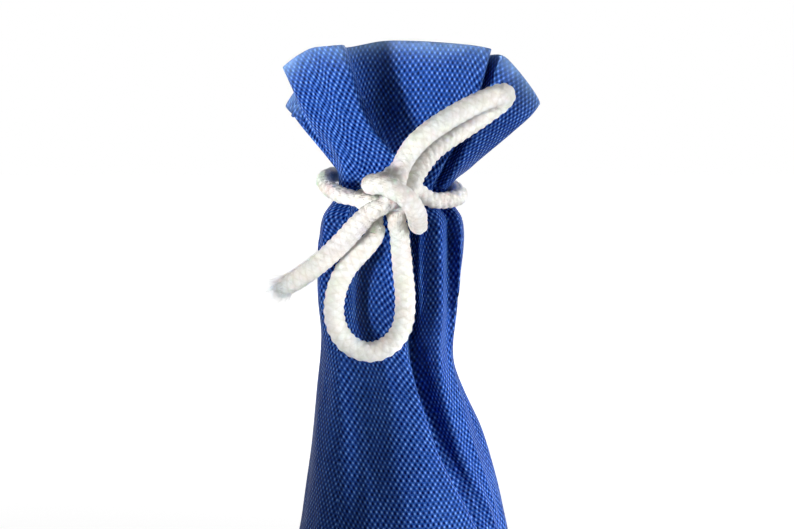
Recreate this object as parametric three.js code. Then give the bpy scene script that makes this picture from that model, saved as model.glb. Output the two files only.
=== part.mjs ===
// A drawstring pouch: a blue woven bag on a round base, gathered at the neck and tied with one white braided cord.
// The cord runs once round the neck and is closed by a bow: a half knot, two loops, a long tail and a short one.
// Millimetres, +Z up, the bow faces -Y, and the origin is the middle of the base.
import * as THREE from 'three';

// Driving dimensions
const pouchHeight = 190;
const bodyRadius = 28.5;
const clothThickness = 0.6;
const fitGap = 0.3;
const seamAllowance = 3;
const bindingThickness = 0.8;
const bindingStart = 1.6;
const bindingWidth = 2.6;
const bindingEnd = 2;
const cordDiameter = 4.2;
const bandDiameter = 3.8;
const neckDiameter = 3.5;
const tightDiameter = 2.8;
const strandGap = 0.85;

// Fineness of the solids
const foldSteps = 2;
const levelSteps = 2;
const cordSides = 8;
const ringTurn = THREE.MathUtils.degToRad(16);

// Heights of the wall's sections, as shares of the pouch's height. The first ones are round, and the rest are folded.
const roundLevelShares = [0, 0.03, 0.16, 0.316];
const roundRadiusShares = [0.94, 0.985, 1, 0.95];
const foldLevelShares = [0.44, 0.553, 0.635, 0.705, 0.774, 0.803, 0.829, 0.861, 0.913, 1];

// The front panel's folds: x and y at each folded level, as shares of the body's radius. The columns run from
// the left seam over left flank, left valley, ridge, crest, crisp edge, valley, flank, crest, crease and right
// ridge to the right seam.
const frontFoldShares = [
  [[-0.76, 0.05], [-0.66, -0.36], [-0.46, -0.6], [-0.2, -0.75], [0.16, -0.82], [0.62, -0.6],
    [0.64, -0.48], [0.7, -0.44], [0.77, -0.36], [0.82, -0.24], [0.85, -0.11], [0.86, 0.1]],
  [[-0.66, 0.08], [-0.6, -0.24], [-0.42, -0.48], [-0.2, -0.55], [0.04, -0.68], [0.3, -0.62],
    [0.27, -0.42], [0.36, -0.4], [0.47, -0.46], [0.57, -0.34], [0.63, -0.18], [0.66, 0.05]],
  [[-0.59, 0.08], [-0.55, -0.14], [-0.43, -0.36], [-0.25, -0.4], [-0.07, -0.53], [0.11, -0.53],
    [0.12, -0.3], [0.21, -0.31], [0.32, -0.43], [0.4, -0.26], [0.44, -0.18], [0.43, 0.05]],
  [[-0.61, 0.06], [-0.57, -0.1], [-0.38, -0.18], [-0.27, -0.42], [-0.14, -0.51], [-0.01, -0.49],
    [0.13, -0.22], [0.23, -0.41], [0.33, -0.49], [0.4, -0.24], [0.46, -0.25], [0.43, 0.04]],
  [[-0.59, 0.03], [-0.55, -0.12], [-0.38, -0.17], [-0.27, -0.37], [-0.1, -0.5], [0.04, -0.42],
    [0.14, -0.21], [0.23, -0.4], [0.33, -0.47], [0.4, -0.22], [0.48, -0.29], [0.52, 0.02]],
  [[-0.55, 0], [-0.52, -0.2], [-0.38, -0.2], [-0.31, -0.33], [-0.09, -0.42], [0.05, -0.36],
    [0.15, -0.22], [0.22, -0.35], [0.31, -0.4], [0.39, -0.22], [0.47, -0.27], [0.49, 0]],
  [[-0.45, 0], [-0.4, -0.16], [-0.3, -0.14], [-0.25, -0.27], [-0.1, -0.36], [0.04, -0.34],
    [0.1, -0.2], [0.17, -0.29], [0.25, -0.27], [0.27, -0.13], [0.35, -0.13], [0.39, 0.03]],
  [[-0.46, -0.08], [-0.39, -0.25], [-0.28, -0.3], [-0.14, -0.36], [0.01, -0.39], [-0.03, -0.27],
    [0.14, -0.22], [0.25, -0.28], [0.33, -0.31], [0.36, -0.15], [0.45, -0.25], [0.59, -0.01]],
  [[-0.67, -0.12], [-0.55, -0.27], [-0.43, -0.35], [-0.32, -0.41], [-0.21, -0.44], [-0.17, -0.25],
    [0.04, -0.1], [0.32, -0.19], [0.52, -0.34], [0.54, -0.1], [0.62, -0.26], [1.01, 0]],
  [[-0.85, -0.14], [-0.74, -0.26], [-0.62, -0.34], [-0.51, -0.4], [-0.4, -0.43], [-0.35, -0.26],
    [-0.08, -0.06], [0.34, -0.13], [0.69, -0.3], [0.68, -0.05], [0.8, -0.2], [1.1, 0.04]],
];

// The back panel's folds in the same way, from beside the right seam round the back to beside the left seam.
const backFoldShares = [
  [[0.78, 0.42], [0.62, 0.6], [0.42, 0.73], [0.15, 0.8], [-0.12, 0.79], [-0.38, 0.68], [-0.58, 0.5], [-0.7, 0.3]],
  [[0.58, 0.32], [0.42, 0.44], [0.28, 0.58], [0.1, 0.52], [-0.1, 0.62], [-0.3, 0.5], [-0.47, 0.48], [-0.6, 0.24]],
  [[0.42, 0.22], [0.28, 0.3], [0.2, 0.48], [0.06, 0.36], [-0.1, 0.52], [-0.26, 0.36], [-0.42, 0.42], [-0.52, 0.2]],
  [[0.43, 0.2], [0.27, 0.24], [0.2, 0.47], [0.04, 0.3], [-0.12, 0.5], [-0.28, 0.3], [-0.44, 0.36], [-0.52, 0.16]],
  [[0.48, 0.2], [0.3, 0.2], [0.22, 0.45], [0.04, 0.24], [-0.12, 0.47], [-0.26, 0.24], [-0.45, 0.32], [-0.46, 0.12]],
  [[0.46, 0.19], [0.28, 0.18], [0.2, 0.41], [0.03, 0.22], [-0.12, 0.43], [-0.24, 0.22], [-0.42, 0.29], [-0.42, 0.1]],
  [[0.36, 0.16], [0.22, 0.15], [0.17, 0.32], [0.02, 0.19], [-0.12, 0.35], [-0.2, 0.18], [-0.36, 0.22], [-0.34, 0.08]],
  [[0.43, 0.17], [0.26, 0.15], [0.2, 0.34], [0.02, 0.18], [-0.16, 0.34], [-0.26, 0.16], [-0.5, 0.17], [-0.4, 0.06]],
  [[0.66, 0.22], [0.38, 0.15], [0.26, 0.34], [0, 0.17], [-0.28, 0.3], [-0.34, 0.14], [-0.78, 0.18], [-0.5, 0.06]],
  [[0.84, 0.24], [0.5, 0.15], [0.32, 0.3], [0, 0.17], [-0.34, 0.26], [-0.42, 0.12], [-0.85, 0.16], [-0.6, 0.04]],
];

// How high each column's top edge stands, as shares of the pouch's height
const mouthLevelShares = [
  0.968, 0.981, 0.99, 0.992, 0.993, 0.992, 1, 0.998, 0.99, 0.985, 0.982, 0.928,
  0.95, 0.965, 0.97, 0.98, 0.975, 0.975, 0.927, 0.985,
];
const frontColumns = frontFoldShares[0].length;

// The oval that the gathered neck fills, as shares of the body's radius: its middle and its two half axes.
// It widens above and below the neck's level.
const neckLevelShare = 0.829;
const neckFlareShare = 0.38;
const neckCentreShare = -0.035;
const neckWidthShare = 0.43;
const neckDepthShare = 0.37;

// The cord's route from the short tail's end to the long tail's end, laid loosely. Points of a slack stretch
// are drawn tight afterwards, and the others stay where they are.
const cordRoute = [
  { name: 'short_tail', slack: true, diameter: bandDiameter, points: [
    [3.4, -16, 166.4], [2.4, -16.8, 163.8]] },
  { name: 'short_tail', slack: true, diameter: tightDiameter, points: [
    [0.8, -18.4, 160.6], [-1.6, -20.4, 157.6], [-3.1, -19.8, 154.4]] },
  { name: 'lower_loop', slack: false, diameter: cordDiameter, points: [
    [-3.7, -19.6, 151.3], [-5.3, -19.9, 149], [-7.4, -19.6, 146.8], [-10.1, -19, 143.6], [-12, -18.6, 139.7],
    [-12.8, -18.2, 135.2], [-12.2, -18, 131.1], [-9.7, -17.8, 127.4], [-5.4, -17.8, 125.8], [-1.2, -17.8, 127.5],
    [1.2, -18, 130.9], [1.9, -18.3, 135.2], [1.8, -18.5, 139], [1.4, -18.6, 142.8], [1.1, -18.7, 146.3]] },
  { name: 'neck_cord', slack: false, diameter: bandDiameter, points: [
    [0.8, -18.7, 149], [0.7, -18.9, 151.6]] },
  { name: 'neck_cord', slack: true, diameter: bandDiameter, points: [
    [1.1, -20, 154.6], [0.6, -21.4, 158.2], [-1.6, -22.4, 159.9]] },
  { name: 'neck_cord', slack: false, diameter: bandDiameter, points: [
    [-4, -24, 161], [-5.2, -26.2, 161.3], [-4.3, -28.3, 161.1]] },
  { name: 'neck_cord', slack: true, diameter: bandDiameter, points: [
    [-1.3, -29.8, 160.2], [1.4, -29.6, 159.3], [3.4, -28, 158.4], [3.7, -25.2, 156.6]] },
  { name: 'neck_cord', slack: false, diameter: bandDiameter, points: [
    [4.2, -22.9, 153.4], [4.6, -20.9, 152.3], [4.7, -18.9, 153]] },
  { name: 'neck_cord', slack: false, diameter: tightDiameter, points: [
    [4.5, -17.4, 153.5], [3.4, -14.9, 154.1], [1.5, -12.1, 156.9], [-0.4, -14.9, 159.9], [-2.3, -17.7, 157],
    [-4.2, -14.9, 154.2], [-6.2, -12.5, 156.1]] },
  { name: 'neck_cord', slack: false, diameter: neckDiameter, points: [
    [-8.6, -11.8, 157.3], [-11, -10.2, 157.6], [-14, -5.8, 158.7], [-15.6, 0, 160], [-14.2, 6.4, 161], [-8, 11, 161],
    [-1, 12.5, 160.6], [6, 11.1, 159.6], [12, 6.8, 158.4], [13.8, 0, 157.4], [12.8, -5.8, 156.8],
    [9, -9.6, 156.6], [6.6, -11.8, 157.2]] },
  { name: 'neck_cord', slack: false, diameter: tightDiameter, points: [
    [5, -12.8, 158.7], [3.4, -14.9, 159.9], [1.5, -17.7, 156.9], [-0.4, -14.9, 154], [-2.3, -12.1, 157],
    [-4, -14.8, 159.5], [-5.1, -17.5, 158.5]] },
  { name: 'neck_cord', slack: true, diameter: tightDiameter, points: [
    [-5.3, -19.4, 157.2], [-4.6, -21.2, 156.5], [-3, -22.9, 157], [-0.6, -24, 158.6], [1.6, -24.4, 160.2]] },
  { name: 'upper_loop', slack: false, diameter: cordDiameter, points: [
    [3.4, -23.4, 162], [4.8, -21.6, 164.3], [6.8, -19.2, 167], [10.2, -16.8, 169.6], [14.4, -14.9, 172.2],
    [18.5, -13.6, 174.9], [21.2, -13.4, 176.9], [22.3, -15.4, 178.4], [21.6, -17.8, 178.9], [19.2, -18.9, 178.2],
    [14, -20.6, 175.9], [9.7, -22.2, 173.5], [5.7, -23.8, 170.8], [3.1, -24.7, 168.2], [1.2, -25.2, 165.2]] },
  { name: 'tail_pass', slack: true, diameter: tightDiameter, points: [
    [-0.4, -26.4, 162], [-2.6, -27, 159]] },
  { name: 'long_tail', slack: false, diameter: cordDiameter, points: [
    [-4.8, -26.5, 156.2], [-6.5, -25.2, 154.3], [-9.4, -23.3, 150.9], [-12.3, -21.5, 147.8], [-15.5, -20, 144.8],
    [-18.9, -18.2, 142.1], [-22.2, -16.6, 139.9], [-24.4, -15.9, 138.8]] },
];

// How the cord is drawn tight
const cordStep = 1.1;
const tightenRounds = 120;
const tightenShare = 0.3;
const pushRounds = 4;
const pushShare = 0.8;
const smoothRounds = 2;
const smoothShare = 0.5;
const bendShare = 1.5;
const taperSteps = 5;

const clothMaterial = () => new THREE.MeshStandardMaterial({ color: 0x2850b4, roughness: 0.75 });
const bindingMaterial = () => new THREE.MeshStandardMaterial({ color: 0x1d3c90, roughness: 0.85 });
const cordMaterial = () => new THREE.MeshStandardMaterial({ color: 0xf0eee8, roughness: 0.8 });

function makeMesh(name, geometry, material) {
  const mesh = new THREE.Mesh(geometry, material);
  mesh.name = name;
  return mesh;
}

// A closed solid from rows of rings of points: each ring is one cross-section, and the ends are capped.
function ringSolid(rings) {
  const count = rings[0].length;
  const positions = rings.flat().flatMap((p) => [p.x, p.y, p.z]);
  const faces = [];
  for (let r = 0; r < rings.length - 1; r++) {
    for (let i = 0; i < count; i++) {
      const a = r * count + i;
      const b = r * count + (i + 1) % count;
      faces.push(a, b, b + count, a, b + count, a + count);
    }
  }
  const last = (rings.length - 1) * count;
  for (let i = 1; i < count - 1; i++) {
    faces.push(0, i + 1, i, last, last + i, last + i + 1);
  }
  const geometry = new THREE.BufferGeometry();
  geometry.setAttribute('position', new THREE.Float32BufferAttribute(positions, 3));
  geometry.setIndex(faces);
  geometry.computeVertexNormals();
  return geometry;
}

// A closed solid between an outer and an inner grid of points. Rows run up the wall. Where it goes all round,
// its first and last columns are joined.
function slabSolid(outer, inner, allRound) {
  const rows = outer.length;
  const columns = outer[0].length;
  const positions = [...outer.flat(), ...inner.flat()].flatMap((p) => [p.x, p.y, p.z]);
  const at = (side, r, c) => (side * rows + r) * columns + c % columns;
  const faces = [];
  const quad = (a, b, c, d) => faces.push(a, b, c, a, c, d);
  const spans = allRound ? columns : columns - 1;
  for (let r = 0; r < rows - 1; r++) {
    for (let c = 0; c < spans; c++) {
      quad(at(0, r, c), at(0, r, c + 1), at(0, r + 1, c + 1), at(0, r + 1, c));
      quad(at(1, r, c), at(1, r + 1, c), at(1, r + 1, c + 1), at(1, r, c + 1));
    }
  }
  for (let c = 0; c < spans; c++) {
    quad(at(0, 0, c), at(1, 0, c), at(1, 0, c + 1), at(0, 0, c + 1));
    quad(at(0, rows - 1, c), at(0, rows - 1, c + 1), at(1, rows - 1, c + 1), at(1, rows - 1, c));
  }
  for (let r = 0; r < rows - 1 && !allRound; r++) {
    const c = columns - 1;
    quad(at(0, r, 0), at(0, r + 1, 0), at(1, r + 1, 0), at(1, r, 0));
    quad(at(0, r, c), at(1, r, c), at(1, r + 1, c), at(0, r + 1, c));
  }
  const geometry = new THREE.BufferGeometry();
  geometry.setAttribute('position', new THREE.Float32BufferAttribute(positions, 3));
  geometry.setIndex(faces);
  geometry.computeVertexNormals();
  return geometry;
}

// The wall's sections, lowest first: rounds by formula below, hand-laid folds above
function wallSections() {
  const folded = frontFoldShares.map((front, level) => [...front, ...backFoldShares[level]].map(([x, y], column) => {
    const isMouth = level === frontFoldShares.length - 1;
    const height = isMouth ? mouthLevelShares[column] : foldLevelShares[level];
    return new THREE.Vector3(x * bodyRadius, y * bodyRadius, height * pouchHeight);
  }));
  const round = roundLevelShares.map((level, i) => folded[0].map((point) => {
    const ray = new THREE.Vector3(point.x, point.y, 0).setLength(roundRadiusShares[i] * bodyRadius);
    return ray.setZ(level * pouchHeight);
  }));
  return [...round, ...folded];
}

// Smooth curves through the sections and then up the columns give the wall's outer grid.
function wallGrid() {
  const rings = wallSections().map((section) => {
    const curve = new THREE.CatmullRomCurve3(section, true, 'centripetal');
    const count = section.length * foldSteps;
    return Array.from({ length: count }, (_, i) => curve.getPoint(i / count));
  });
  const columns = rings[0].map((_, c) => {
    const curve = new THREE.CatmullRomCurve3(rings.map((ring) => ring[c]), false, 'centripetal');
    const count = (rings.length - 1) * levelSteps;
    return Array.from({ length: count + 1 }, (_, i) => curve.getPoint(i / count));
  });
  const rows = columns[0].map((_, r) => columns.map((column) => column[r]));
  rows[0].forEach((point) => point.setZ(0));
  return rows;
}

// The inner face lies one cloth thickness inside the outer one.
function insetGrid(rows, depth) {
  return rows.map((row, r) => row.map((point, c) => {
    const count = row.length;
    const along = row[(c + 1) % count].clone().sub(row[(c + count - 1) % count]);
    const up = rows[Math.min(r + 1, rows.length - 1)][c].clone().sub(rows[Math.max(r - 1, 0)][c]);
    const normal = along.cross(up).normalize();
    if (r === 0) {
      normal.setZ(0).normalize();
    }
    return point.clone().addScaledVector(normal, -depth);
  }));
}

// One panel is the stretch of wall between two seams. Its side edges are drawn back from the seam lines.
function panelSolid(outer, inner, first, last) {
  const cut = (rows) => rows.map((row) => {
    const columns = [];
    for (let c = first; c <= last; c++) {
      columns.push(row[c % row.length].clone());
    }
    const drawBack = (edge, beside) => edge.add(beside.clone().sub(edge).setLength(fitGap + clothThickness / 4));
    drawBack(columns[0], columns[1]);
    drawBack(columns[columns.length - 1], columns[columns.length - 2]);
    return columns;
  });
  return slabSolid(cut(outer), cut(inner), false);
}

// The round base lies inside the wall's lower edge.
function basePanelSolid(inner) {
  const outline = inner[0].map((point) => {
    const length = Math.hypot(point.x, point.y);
    return new THREE.Vector2(point.x, point.y).setLength(length - fitGap);
  });
  return new THREE.ExtrudeGeometry(new THREE.Shape(outline), { depth: clothThickness, bevelEnabled: false });
}

// A grid's column at a given height
function pointAtHeight(rows, column, height) {
  let r = 1;
  while (r < rows.length - 1 && rows[r][column].z < height) {
    r++;
  }
  const below = rows[r - 1][column];
  const above = rows[r][column];
  return below.clone().lerp(above, (height - below.z) / (above.z - below.z));
}

// The binding of the base seam stands on the base, inside the wall.
function baseBindingSolid(inner) {
  const heights = [clothThickness + fitGap, clothThickness + fitGap + seamAllowance];
  const ringAt = (inset) => heights.map((height) => inner[0].map((_, c) => {
    const point = pointAtHeight(inner, c, height);
    return point.add(new THREE.Vector3(point.x, point.y, 0).setLength(-inset));
  }));
  return slabSolid(ringAt(fitGap), ringAt(fitGap + bindingThickness), true);
}

// The place at a distance along a row, from a column on, forward or backward
function pointAlongRow(row, column, direction, distance) {
  let left = distance;
  let here = column;
  for (;;) {
    const next = (here + direction + row.length) % row.length;
    const length = row[here].distanceTo(row[next]);
    if (length >= left) {
      return row[here].clone().lerp(row[next], left / length);
    }
    left -= length;
    here = next;
  }
}

// A side seam's bound allowance is pressed flat against the back panel's inside.
function sideBindingSolid(outer, column, direction) {
  const lowest = clothThickness + fitGap + seamAllowance + fitGap;
  const reaches = [bindingStart, bindingStart + bindingWidth / 2, bindingStart + bindingWidth];
  const strip = (depth) => {
    const rows = insetGrid(outer, depth);
    const top = rows.length - 1;
    const kept = rows.filter((row, r) => r < top && row[column].z > lowest);
    const drop = bindingEnd / rows[top][column].distanceTo(rows[top - 1][column]);
    kept.push(rows[top].map((point, c) => point.clone().lerp(rows[top - 1][c], drop)));
    return kept.map((row) => {
      const points = reaches.map((reach) => pointAlongRow(row, column, direction, reach));
      return direction > 0 ? points : points.reverse();
    });
  };
  const depth = clothThickness + fitGap;
  return slabSolid(strip(depth), strip(depth + bindingThickness), false);
}

// Lays the route as evenly spaced points. Each knows its stretch, its radius, and whether it is slack.
function layCord() {
  const controls = cordRoute.flatMap((stretch) => stretch.points.map(
    (point) => ({ ...stretch, point: new THREE.Vector3(...point) })));
  const curve = new THREE.CatmullRomCurve3(controls.map(({ point }) => point), false, 'centripetal');
  const spans = controls.length - 1;
  const laid = [];
  for (let i = 0; i < spans; i++) {
    const { name, diameter, slack, point } = controls[i];
    const count = Math.max(1, Math.round(point.distanceTo(controls[i + 1].point) / cordStep));
    for (let k = 0; k < count; k++) {
      const free = i + k > 0 && (slack || (k > 0 && controls[i + 1].slack));
      laid.push({ name, diameter, slack: free, point: curve.getPoint((i + k / count) / spans) });
    }
  }
  laid.push({ ...controls[spans], slack: false });
  laid.forEach((entry, i) => {
    const near = laid.slice(Math.max(i - taperSteps, 0), i + taperSteps + 1);
    entry.radius = near.reduce((sum, { diameter }) => sum + diameter, 0) / near.length / 2;
  });
  return laid;
}

// The pairs of points far enough apart along the cord to be different strands
function strandPairs(laid) {
  const pairs = [];
  for (let i = 0; i < laid.length; i++) {
    for (let j = i + 1; j < laid.length; j++) {
      const least = laid[i].radius + laid[j].radius + strandGap;
      if ((j - i) * cordStep >= bendShare * least) {
        pairs.push([laid[i], laid[j], least]);
      }
    }
  }
  return pairs;
}

// Moves slack strands apart where they lie closer than the strand gap.
function pushApart(laid, pairs) {
  laid.forEach((entry) => {
    entry.moves = new THREE.Vector3();
    entry.pushes = 0;
  });
  for (const [a, b, least] of pairs) {
    const apart = a.point.distanceTo(b.point);
    if (apart < least) {
      const move = b.point.clone().sub(a.point).setLength((least - apart) * pushShare);
      a.moves.sub(move);
      b.moves.add(move);
      a.pushes++;
      b.pushes++;
    }
  }
  laid.filter(({ slack, pushes }) => slack && pushes).forEach(({ point, moves, pushes }) => {
    point.addScaledVector(moves, 1 / pushes);
  });
}

// Keeps the slack strands outside the gathered neck.
function clearNeck(laid, ring) {
  laid.filter(({ slack }) => slack).forEach(({ point }) => {
    const flare = neckFlareShare * Math.abs(point.z - ring.z);
    const x = (point.x - ring.x) / (ring.halfWidth + flare);
    const y = point.y / (ring.halfDepth + flare);
    const reach = Math.hypot(x, y);
    if (reach < 1) {
      point.x = ring.x + (point.x - ring.x) / reach;
      point.y /= reach;
    }
  });
}

// Moves every point of a list a share of the way to the middle of its neighbours.
function shorten(entries, laid, share) {
  const middles = new Map(laid.slice(1, -1).map((entry, i) => [
    entry, laid[i].point.clone().add(laid[i + 2].point).multiplyScalar(0.5)]));
  entries.filter((entry) => middles.has(entry)).forEach((entry) => entry.point.lerp(middles.get(entry), share));
}

// Draws the slack stretches tight: each round shortens them a little, then pushes their strands apart.
function tightenCord(laid, ring) {
  const pairs = strandPairs(laid);
  const slackOnes = laid.filter(({ slack }) => slack);
  for (let round = 0; round < tightenRounds; round++) {
    shorten(slackOnes, laid, tightenShare);
    for (let push = 0; push < pushRounds; push++) {
      pushApart(laid, pairs);
    }
    clearNeck(laid, ring);
  }
  for (let round = 0; round < smoothRounds; round++) {
    shorten(laid, laid, smoothShare);
  }
  for (let push = 0; push < pushRounds; push++) {
    pushApart(laid, pairs);
  }
  return laid;
}

// The least clear space between the cord's strands
function leastStrandGap(laid) {
  return Math.min(...strandPairs(laid).map(([a, b]) => a.point.distanceTo(b.point) - a.radius - b.radius));
}

// The rings of a round cord along points, with no twist, and only as many as its bends need
function cordRings(points, tangents, radii) {
  let side = new THREE.Vector3(0, 1, 0).cross(tangents[0]).normalize();
  let lastKept = 0;
  const rings = [];
  points.forEach((point, i) => {
    side = side.clone().addScaledVector(tangents[i], -side.dot(tangents[i])).normalize();
    const turned = tangents[i].angleTo(tangents[lastKept]);
    const isEnd = i === 0 || i === points.length - 1;
    if (!isEnd && turned < ringTurn && i - lastKept < taperSteps) {
      return;
    }
    lastKept = i;
    const up = tangents[i].clone().cross(side);
    rings.push(Array.from({ length: cordSides }, (_, k) => {
      const angle = 2 * Math.PI * k / cordSides;
      return point.clone().addScaledVector(side, Math.cos(angle) * radii[i])
        .addScaledVector(up, Math.sin(angle) * radii[i]);
    }));
  });
  return rings;
}

// Cuts the cord into its stretches. A stretch starts a fit gap after the one before it.
function cordSolids(laid) {
  const names = [...new Set(laid.map(({ name }) => name))];
  return names.map((name) => {
    const first = laid.findIndex((entry) => entry.name === name);
    const last = laid.findLastIndex((entry) => entry.name === name);
    const stretch = laid.slice(first, last + 2);
    const points = stretch.map(({ point }) => point.clone());
    const tangents = stretch.map((_, i) => {
      const ahead = laid[Math.min(first + i + 1, laid.length - 1)].point;
      return ahead.clone().sub(laid[Math.max(first + i - 1, 0)].point).normalize();
    });
    if (first > 0) {
      points[0].addScaledVector(tangents[0], fitGap);
    }
    const rings = cordRings(points, tangents, stretch.map(({ radius }) => radius));
    return makeMesh(name, ringSolid(rings), cordMaterial());
  });
}

const outerWall = wallGrid();
const innerWall = insetGrid(outerWall, clothThickness);
const seamColumn = (frontColumns - 1) * foldSteps;
const neckRing = {
  x: neckCentreShare * bodyRadius,
  z: neckLevelShare * pouchHeight,
  halfWidth: neckWidthShare * bodyRadius + tightDiameter / 2,
  halfDepth: neckDepthShare * bodyRadius + tightDiameter / 2,
};
const cord = tightenCord(layCord(), neckRing);
console.log(`least gap between the knot's strands: ${leastStrandGap(cord).toFixed(2)} mm`);

const pouch = new THREE.Group();
pouch.add(
  makeMesh('front_panel', panelSolid(outerWall, innerWall, 0, seamColumn), clothMaterial()),
  makeMesh('back_panel', panelSolid(outerWall, innerWall, seamColumn, outerWall[0].length), clothMaterial()),
  makeMesh('base_panel', basePanelSolid(innerWall), clothMaterial()),
  makeMesh('base_seam_binding', baseBindingSolid(innerWall), bindingMaterial()),
  makeMesh('left_seam_binding', sideBindingSolid(outerWall, 0, -1), bindingMaterial()),
  makeMesh('right_seam_binding', sideBindingSolid(outerWall, seamColumn, 1), bindingMaterial()),
  ...cordSolids(cord),
);

export default pouch;
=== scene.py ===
"""A drawstring pouch of blue woven cloth, tied at the neck with a white braided cord in a bow."""
import math

import bpy
import numpy as np
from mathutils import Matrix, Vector


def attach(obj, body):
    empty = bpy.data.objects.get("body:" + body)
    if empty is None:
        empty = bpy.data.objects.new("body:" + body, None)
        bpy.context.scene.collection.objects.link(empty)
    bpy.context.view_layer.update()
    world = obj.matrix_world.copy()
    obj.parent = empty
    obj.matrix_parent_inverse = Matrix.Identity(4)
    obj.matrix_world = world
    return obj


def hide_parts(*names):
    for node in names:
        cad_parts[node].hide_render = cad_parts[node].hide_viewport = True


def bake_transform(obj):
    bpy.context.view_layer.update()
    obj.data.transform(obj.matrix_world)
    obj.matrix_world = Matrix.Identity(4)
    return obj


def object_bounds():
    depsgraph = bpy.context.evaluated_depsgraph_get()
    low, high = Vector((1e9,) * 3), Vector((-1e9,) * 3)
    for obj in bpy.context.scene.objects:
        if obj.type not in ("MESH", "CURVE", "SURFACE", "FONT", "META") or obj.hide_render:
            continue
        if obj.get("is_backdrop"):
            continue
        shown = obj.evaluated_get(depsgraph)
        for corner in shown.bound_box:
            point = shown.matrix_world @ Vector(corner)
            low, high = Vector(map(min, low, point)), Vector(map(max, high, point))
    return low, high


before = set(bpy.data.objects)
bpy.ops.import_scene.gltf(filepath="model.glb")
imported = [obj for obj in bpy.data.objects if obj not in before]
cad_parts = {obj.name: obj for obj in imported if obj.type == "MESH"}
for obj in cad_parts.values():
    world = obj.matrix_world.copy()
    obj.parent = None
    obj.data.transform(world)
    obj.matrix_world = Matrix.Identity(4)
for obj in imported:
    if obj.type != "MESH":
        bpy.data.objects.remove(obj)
cad_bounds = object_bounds()

MM = 0.001

# The camera: lens and sensor in millimetres
CAMERA_DISTANCE = 260 * MM
CAMERA_ELEVATION = math.radians(8)
CAMERA_TARGET = Vector((0.2 * MM, 0, 141.7 * MM))
CAMERA_LENS = 53.58
CAMERA_SENSOR = 36

# The lamps: name, place, target, size, watts, spread in degrees
POUCH_MIDDLE = 0, 0, 130 * MM
LAMPS = [
    ("key", (0.66, -0.12, 0.2), POUCH_MIDDLE, 0.2, 3.4, 180),
    ("fill", (-0.5, -0.5, 0.45), POUCH_MIDDLE, 0.3, 0.75, 180),
    ("low", (-0.36, -0.42, 0.06), (-4 * MM, 0, 187 * MM), 0.1, 0.034, 11),
    ("low_right", (0.5, -0.3, 0.12), (14 * MM, -10 * MM, 98 * MM), 0.1, 0.023, 11),
    ("back", (0.1, 0.6, 0.5), POUCH_MIDDLE, 0.4, 2.2, 180),
]
WORLD_STRENGTH = 0.1

# The floor: its half side, and the distances between which its glow grows, with the two strengths
FLOOR_REACH = 2.5
FLOOR_GLOW = 0.1, 0.7, 0.62, 1.0

# Sizes, in metres
POUCH_HEIGHT = 190 * MM
BODY_RADIUS = 28.5 * MM
CLOTH_THICKNESS = 0.45 * MM
CAD_CLOTH_THICKNESS = 0.6 * MM
FIT_GAP = 0.3 * MM
SEAM_ALLOWANCE = 3 * MM
BINDING_START = 1.6 * MM
BINDING_WIDTH = 2.6 * MM
BINDING_THICKNESS = 0.6 * MM
BINDING_END = 2 * MM
WEAVE_PITCHES = 0.6 * MM, 0.86 * MM
BINDING_PITCHES = 0.4 * MM, 0.4 * MM
THREAD_PITCHES = 0.2 * MM, 0.2 * MM
CORD_DIAMETER = 4.2 * MM
BAND_DIAMETER = 3.8 * MM
NECK_DIAMETER = 3.5 * MM
TIGHT_DIAMETER = 2.8 * MM
STRAND_GAP = 0.85 * MM
SEAM_SINK = 0.45 * MM
SEAM_SINK_WIDTH = 0.6 * MM
SEAM_HALF_GAP = 0.03 * MM
# How far below the mouth's edge the painted highlight fades
RIM_FADE = 1.6 * MM

# The cloth's unevenness: waves up the pouch, waves around it, seed of the noise, height in millimetres
LARGE_DENTS = 16, 40, 1, 0.32
SMALL_DENTS = 30, 90, 2, 0.12
FOOT_PUCKERS = 3, 130, 3, 0.2
DRAPE = 7, 13, 4, 0.8

# The grid's columns and rows between two given points, and the rows of the base and of a binding
FOLD_STEPS = 12
LEVEL_STEPS = 14
BASE_ROWS = 40
BASE_GATHERS = 70
BINDING_ROWS = 9
BINDING_MIDDLE = BINDING_ROWS // 2

# The stitches
STITCH_START = 0.6 * MM
STITCH_LENGTH = 1.7 * MM
STITCH_ROOM = 1.9 * MM
STITCH_PITCH = 2.4 * MM
STITCH_RADIUS = 0.13 * MM
STITCH_POINTS = 7
STITCH_SIDES = 6

# The wall's sections: heights and radii of the round ones, then heights of the folded ones, as shares
ROUND_LEVEL_SHARES = [0, 0.03, 0.16, 0.316]
ROUND_RADIUS_SHARES = [0.94, 0.985, 1, 0.95]
FOLD_LEVEL_SHARES = [0.44, 0.553, 0.635, 0.705, 0.774, 0.803, 0.829, 0.861, 0.913, 1]

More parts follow.
